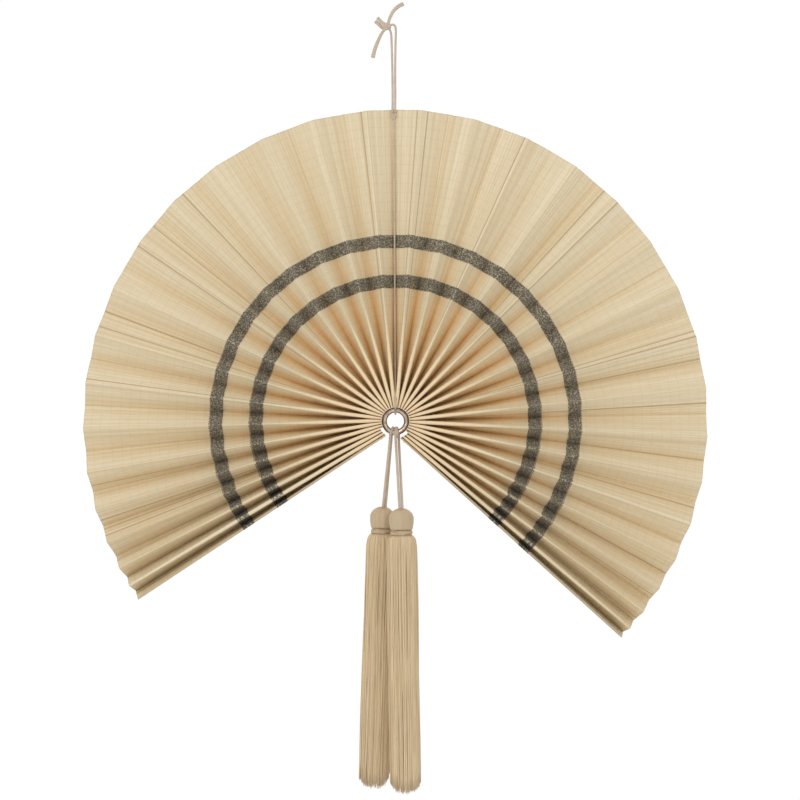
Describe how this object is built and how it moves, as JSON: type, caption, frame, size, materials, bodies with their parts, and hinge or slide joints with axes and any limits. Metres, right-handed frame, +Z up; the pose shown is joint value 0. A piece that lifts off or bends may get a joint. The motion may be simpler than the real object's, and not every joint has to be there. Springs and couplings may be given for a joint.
{
  "type": "hand fan",
  "caption": "Pleated woven bamboo fan opened past a half circle round a metal hub ring, with a knotted hanging cord and two long tassels.",
  "frame": {"origin": "inside top of the hanging loop, where the nail or hook carries the fan", "axes": "+Z up along the hanging cord, -Y towards the viewer (the fan's front), +X to the viewer's right"},
  "size_m": [0.6998, 0.0486, 0.8911],
  "materials": {
    "bamboo": "satin",
    "ring": "worn satin",
    "cord": "matt cotton",
    "thread": "matt",
    "tassel_yarn": "soft sheen"
  },
  "bodies": {
    "hub": {"hub_ring": "ring", "binding_thread": "thread", "ring_hitch": "cord", "valley_cord": "cord", "rim_knot": "cord", "hanging_cord_left": "cord", "hanging_cord_right": "cord", "hanging_knot": "cord", "tail_up": "cord", "tail_down": "cord", "knot_end_upper": "cord", "knot_end_lower": "cord"},
    "pleat_left_01": {"leaf_pleat_left_01": "bamboo"},
    "pleat_left_02": {"leaf_pleat_left_02": "bamboo"},
    "pleat_left_03": {"leaf_pleat_left_03": "bamboo"},
    "pleat_left_04": {"leaf_pleat_left_04": "bamboo"},
    "pleat_left_05": {"leaf_pleat_left_05": "bamboo"},
    "pleat_left_06": {"leaf_pleat_left_06": "bamboo"},
    "pleat_left_07": {"leaf_pleat_left_07": "bamboo"},
    "pleat_left_08": {"leaf_pleat_left_08": "bamboo"},
    "pleat_left_09": {"leaf_pleat_left_09": "bamboo"},
    "pleat_left_10": {"leaf_pleat_left_10": "bamboo"},
    "pleat_left_11": {"leaf_pleat_left_11": "bamboo"},
    "pleat_left_12": {"leaf_pleat_left_12": "bamboo"},
    "pleat_left_13": {"leaf_pleat_left_13": "bamboo"},
    "pleat_left_14": {"leaf_pleat_left_14": "bamboo"},
    "pleat_left_15": {"leaf_pleat_left_15": "bamboo"},
    "edge_left": {"leaf_edge_left": "bamboo"},
    "pleat_right_01": {"leaf_pleat_right_01": "bamboo"},
    "pleat_right_02": {"leaf_pleat_right_02": "bamboo"},
    "pleat_right_03": {"leaf_pleat_right_03": "bamboo"},
    "pleat_right_04": {"leaf_pleat_right_04": "bamboo"},
    "pleat_right_05": {"leaf_pleat_right_05": "bamboo"},
    "pleat_right_06": {"leaf_pleat_right_06": "bamboo"},
    "pleat_right_07": {"leaf_pleat_right_07": "bamboo"},
    "pleat_right_08": {"leaf_pleat_right_08": "bamboo"},
    "pleat_right_09": {"leaf_pleat_right_09": "bamboo"},
    "pleat_right_10": {"leaf_pleat_right_10": "bamboo"},
    "pleat_right_11": {"leaf_pleat_right_11": "bamboo"},
    "pleat_right_12": {"leaf_pleat_right_12": "bamboo"},
    "pleat_right_13": {"leaf_pleat_right_13": "bamboo"},
    "pleat_right_14": {"leaf_pleat_right_14": "bamboo"},
    "pleat_right_15": {"leaf_pleat_right_15": "bamboo"},
    "pleat_right_16": {"leaf_pleat_right_16": "bamboo"},
    "edge_right": {"leaf_edge_right": "bamboo"},
    "tassel_left": {"tassel_cord_left": "cord", "tassel_head_left": "tassel_yarn", "tassel_collar_left": "cord", "tassel_skirt_left": "tassel_yarn"},
    "tassel_right": {"tassel_cord_right": "cord", "tassel_head_right": "tassel_yarn", "tassel_collar_right": "cord", "tassel_skirt_right": "tassel_yarn"}
  },
  "joints": [
    {"name": "fold_left_01", "type": "hinge", "parent": "hub", "child": "pleat_left_01", "pos_m": [-0.00127, 0, -0.4314], "axis": [0, 1, 0], "range_deg": [0, 5.11], "deforming": ["leaf_pleat_left_01"]},
    {"name": "fold_left_02", "type": "hinge", "parent": "pleat_left_01", "child": "pleat_left_02", "pos_m": [-0.00009, 0, -0.43157], "axis": [0, 1, 0], "range_deg": [0, 10.02], "deforming": ["leaf_pleat_left_02"]},
    {"name": "fold_left_03", "type": "hinge", "parent": "pleat_left_02", "child": "pleat_left_03", "pos_m": [-0.00205, 0, -0.43207], "axis": [0, 1, 0], "range_deg": [0, 9.83], "deforming": ["leaf_pleat_left_03"]},
    {"name": "fold_left_04", "type": "hinge", "parent": "pleat_left_03", "child": "pleat_left_04", "pos_m": [-0.00391, 0, -0.43287], "axis": [0, 1, 0], "range_deg": [0, 10.08], "deforming": ["leaf_pleat_left_04"]},
    {"name": "fold_left_05", "type": "hinge", "parent": "pleat_left_04", "child": "pleat_left_05", "pos_m": [-0.00562, 0, -0.43396], "axis": [0, 1, 0], "range_deg": [0, 10], "deforming": ["leaf_pleat_left_05"]},
    {"name": "fold_left_06", "type": "hinge", "parent": "pleat_left_05", "child": "pleat_left_06", "pos_m": [-0.00713, 0, -0.43532], "axis": [0, 1, 0], "range_deg": [0, 9.62], "deforming": ["leaf_pleat_left_06"]},
    {"name": "fold_left_07", "type": "hinge", "parent": "pleat_left_06", "child": "pleat_left_07", "pos_m": [-0.0084, 0, -0.43689], "axis": [0, 1, 0], "range_deg": [0, 9.73], "deforming": ["leaf_pleat_left_07"]},
    {"name": "fold_left_08", "type": "hinge", "parent": "pleat_left_07", "child": "pleat_left_08", "pos_m": [-0.00941, 0, -0.43865], "axis": [0, 1, 0], "range_deg": [0, 9.45], "deforming": ["leaf_pleat_left_08"]},
    {"name": "fold_left_09", "type": "hinge", "parent": "pleat_left_08", "child": "pleat_left_09", "pos_m": [-0.01012, 0, -0.44055], "axis": [0, 1, 0], "range_deg": [0, 8.83], "deforming": ["leaf_pleat_left_09"]},
    {"name": "fold_left_10", "type": "hinge", "parent": "pleat_left_09", "child": "pleat_left_10", "pos_m": [-0.01052, 0, -0.44254], "axis": [0, 1, 0], "range_deg": [0, 8.63], "deforming": ["leaf_pleat_left_10"]},
    {"name": "fold_left_11", "type": "hinge", "parent": "pleat_left_10", "child": "pleat_left_11", "pos_m": [-0.01059, 0, -0.44456], "axis": [0, 1, 0], "range_deg": [0, 7.97], "deforming": ["leaf_pleat_left_11"]},
    {"name": "fold_left_12", "type": "hinge", "parent": "pleat_left_11", "child": "pleat_left_12", "pos_m": [-0.01033, 0, -0.44657], "axis": [0, 1, 0], "range_deg": [0, 6.91], "deforming": ["leaf_pleat_left_12"]},
    {"name": "fold_left_13", "type": "hinge", "parent": "pleat_left_12", "child": "pleat_left_13", "pos_m": [-0.00976, 0, -0.44852], "axis": [0, 1, 0], "range_deg": [0, 6.2], "deforming": ["leaf_pleat_left_13"]},
    {"name": "fold_left_14", "type": "hinge", "parent": "pleat_left_13", "child": "pleat_left_14", "pos_m": [-0.00889, 0, -0.45034], "axis": [0, 1, 0], "range_deg": [0, 4.94], "deforming": ["leaf_pleat_left_14"]},
    {"name": "fold_left_15", "type": "hinge", "parent": "pleat_left_14", "child": "pleat_left_15", "pos_m": [-0.00773, 0, -0.45201], "axis": [0, 1, 0], "range_deg": [0, 3.29], "deforming": ["leaf_pleat_left_15"]},
    {"name": "fold_edge_left", "type": "hinge", "parent": "pleat_left_15", "child": "edge_left", "pos_m": [-0.00632, 0, -0.45346], "axis": [0, 1, 0], "range_deg": [0, 2.58], "deforming": ["leaf_edge_left"]},
    {"name": "fold_right_01", "type": "hinge", "parent": "hub", "child": "pleat_right_01", "pos_m": [0.00513, 0, -0.4314], "axis": [0, -1, 0], "range_deg": [0, 5.08], "deforming": ["leaf_pleat_right_01", "binding_thread"]},
    {"name": "fold_right_02", "type": "hinge", "parent": "pleat_right_01", "child": "pleat_right_02", "pos_m": [0.00406, 0, -0.43157], "axis": [0, -1, 0], "range_deg": [0, 10.05], "deforming": ["leaf_pleat_right_02"]},
    {"name": "fold_right_03", "type": "hinge", "parent": "pleat_right_02", "child": "pleat_right_03", "pos_m": [0.00612, 0, -0.43209], "axis": [0, -1, 0], "range_deg": [0, 10.22], "deforming": ["leaf_pleat_right_03"]},
    {"name": "fold_right_04", "type": "hinge", "parent": "pleat_right_03", "child": "pleat_right_04", "pos_m": [0.00807, 0, -0.43296], "axis": [0, -1, 0], "range_deg": [0, 10.2], "deforming": ["leaf_pleat_right_04"]},
    {"name": "fold_right_05", "type": "hinge", "parent": "pleat_right_04", "child": "pleat_right_05", "pos_m": [0.00984, 0, -0.43414], "axis": [0, -1, 0], "range_deg": [0, 9.87], "deforming": ["leaf_pleat_right_05"]},
    {"name": "fold_right_06", "type": "hinge", "parent": "pleat_right_05", "child": "pleat_right_06", "pos_m": [0.01139, 0, -0.4356], "axis": [0, -1, 0], "range_deg": [0, 10.05], "deforming": ["leaf_pleat_right_06"]},
    {"name": "fold_right_07", "type": "hinge", "parent": "pleat_right_06", "child": "pleat_right_07", "pos_m": [0.01267, 0, -0.4373], "axis": [0, -1, 0], "range_deg": [0, 9.91], "deforming": ["leaf_pleat_right_07"]},
    {"name": "fold_right_08", "type": "hinge", "parent": "pleat_right_07", "child": "pleat_right_08", "pos_m": [0.01365, 0, -0.43919], "axis": [0, -1, 0], "range_deg": [0, 9.43], "deforming": ["leaf_pleat_right_08"]},
    {"name": "fold_right_09", "type": "hinge", "parent": "pleat_right_08", "child": "pleat_right_09", "pos_m": [0.01429, 0, -0.44122], "axis": [0, -1, 0], "range_deg": [0, 9.41], "deforming": ["leaf_pleat_right_09"]},
    {"name": "fold_right_10", "type": "hinge", "parent": "pleat_right_09", "child": "pleat_right_10", "pos_m": [0.01458, 0, -0.44333], "axis": [0, -1, 0], "range_deg": [0, 9.02], "deforming": ["leaf_pleat_right_10"]},
    {"name": "fold_right_11", "type": "hinge", "parent": "pleat_right_10", "child": "pleat_right_11", "pos_m": [0.01452, 0, -0.44546], "axis": [0, -1, 0], "range_deg": [0, 8.24], "deforming": ["leaf_pleat_right_11"]},
    {"name": "fold_right_12", "type": "hinge", "parent": "pleat_right_11", "child": "pleat_right_12", "pos_m": [0.01409, 0, -0.44755], "axis": [0, -1, 0], "range_deg": [0, 7.87], "deforming": ["leaf_pleat_right_12"]},
    {"name": "fold_right_13", "type": "hinge", "parent": "pleat_right_12", "child": "pleat_right_13", "pos_m": [0.01332, 0, -0.44954], "axis": [0, -1, 0], "range_deg": [0, 7.05], "deforming": ["leaf_pleat_right_13"]},
    {"name": "fold_right_14", "type": "hinge", "parent": "pleat_right_13", "child": "pleat_right_14", "pos_m": [0.01222, 0, -0.45136], "axis": [0, -1, 0], "range_deg": [0, 5.79], "deforming": ["leaf_pleat_right_14"]},
    {"name": "fold_right_15", "type": "hinge", "parent": "pleat_right_14", "child": "pleat_right_15", "pos_m": [0.01084, 0, -0.45298], "axis": [0, -1, 0], "range_deg": [0, 4.88], "deforming": ["leaf_pleat_right_15"]},
    {"name": "fold_right_16", "type": "hinge", "parent": "pleat_right_15", "child": "pleat_right_16", "pos_m": [0.0092, 0, -0.45434], "axis": [0, -1, 0], "range_deg": [0, 3.45], "deforming": ["leaf_pleat_right_16"]},
    {"name": "fold_edge_right", "type": "hinge", "parent": "pleat_right_16", "child": "edge_right", "pos_m": [0.00736, 0, -0.45541], "axis": [0, -1, 0], "range_deg": [0, 1.83], "deforming": ["leaf_edge_right"]},
    {"name": "swing_left", "type": "hinge", "parent": "hub", "child": "tassel_left", "pos_m": [0.002, 0, -0.444], "axis": [0, 1, 0], "range_deg": [0, 25]},
    {"name": "swing_right", "type": "hinge", "parent": "hub", "child": "tassel_right", "pos_m": [0.002, 0, -0.444], "axis": [0, -1, 0], "range_deg": [0, 25]}
  ],
  "couplings": [
    {"joint": "fold_left_01", "follows": "fold_right_01", "ratio": 1.0061},
    {"joint": "fold_left_02", "follows": "fold_right_01", "ratio": 1.9736},
    {"joint": "fold_left_03", "follows": "fold_right_01", "ratio": 1.9366},
    {"joint": "fold_left_04", "follows": "fold_right_01", "ratio": 1.9856},
    {"joint": "fold_left_05", "follows": "fold_right_01", "ratio": 1.9687},
    {"joint": "fold_left_06", "follows": "fold_right_01", "ratio": 1.8953},
    {"joint": "fold_left_07", "follows": "fold_right_01", "ratio": 1.9166},
    {"joint": "fold_left_08", "follows": "fold_right_01", "ratio": 1.8607},
    {"joint": "fold_left_09", "follows": "fold_right_01", "ratio": 1.7391},
    {"joint": "fold_left_10", "follows": "fold_right_01", "ratio": 1.7004},
    {"joint": "fold_left_11", "follows": "fold_right_01", "ratio": 1.5702},
    {"joint": "fold_left_12", "follows": "fold_right_01", "ratio": 1.3619},
    {"joint": "fold_left_13", "follows": "fold_right_01", "ratio": 1.2219},
    {"joint": "fold_left_14", "follows": "fold_right_01", "ratio": 0.97293},
    {"joint": "fold_left_15", "follows": "fold_right_01", "ratio": 0.64751},
    {"joint": "fold_edge_left", "follows": "fold_right_01", "ratio": 0.50773},
    {"joint": "fold_right_02", "follows": "fold_right_01", "ratio": 1.9795},
    {"joint": "fold_right_03", "follows": "fold_right_01", "ratio": 2.0125},
    {"joint": "fold_right_04", "follows": "fold_right_01", "ratio": 2.0094},
    {"joint": "fold_right_05", "follows": "fold_right_01", "ratio": 1.9445},
    {"joint": "fold_right_06", "follows": "fold_right_01", "ratio": 1.9795},
    {"joint": "fold_right_07", "follows": "fold_right_01", "ratio": 1.9525},
    {"joint": "fold_right_08", "follows": "fold_right_01", "ratio": 1.8573},
    {"joint": "fold_right_09", "follows": "fold_right_01", "ratio": 1.8536},
    {"joint": "fold_right_10", "follows": "fold_right_01", "ratio": 1.7765},
    {"joint": "fold_right_11", "follows": "fold_right_01", "ratio": 1.6225},
    {"joint": "fold_right_12", "follows": "fold_right_01", "ratio": 1.5491},
    {"joint": "fold_right_13", "follows": "fold_right_01", "ratio": 1.389},
    {"joint": "fold_right_14", "follows": "fold_right_01", "ratio": 1.1408},
    {"joint": "fold_right_15", "follows": "fold_right_01", "ratio": 0.9605},
    {"joint": "fold_right_16", "follows": "fold_right_01", "ratio": 0.67946},
    {"joint": "fold_edge_right", "follows": "fold_right_01", "ratio": 0.36092}
  ]
}
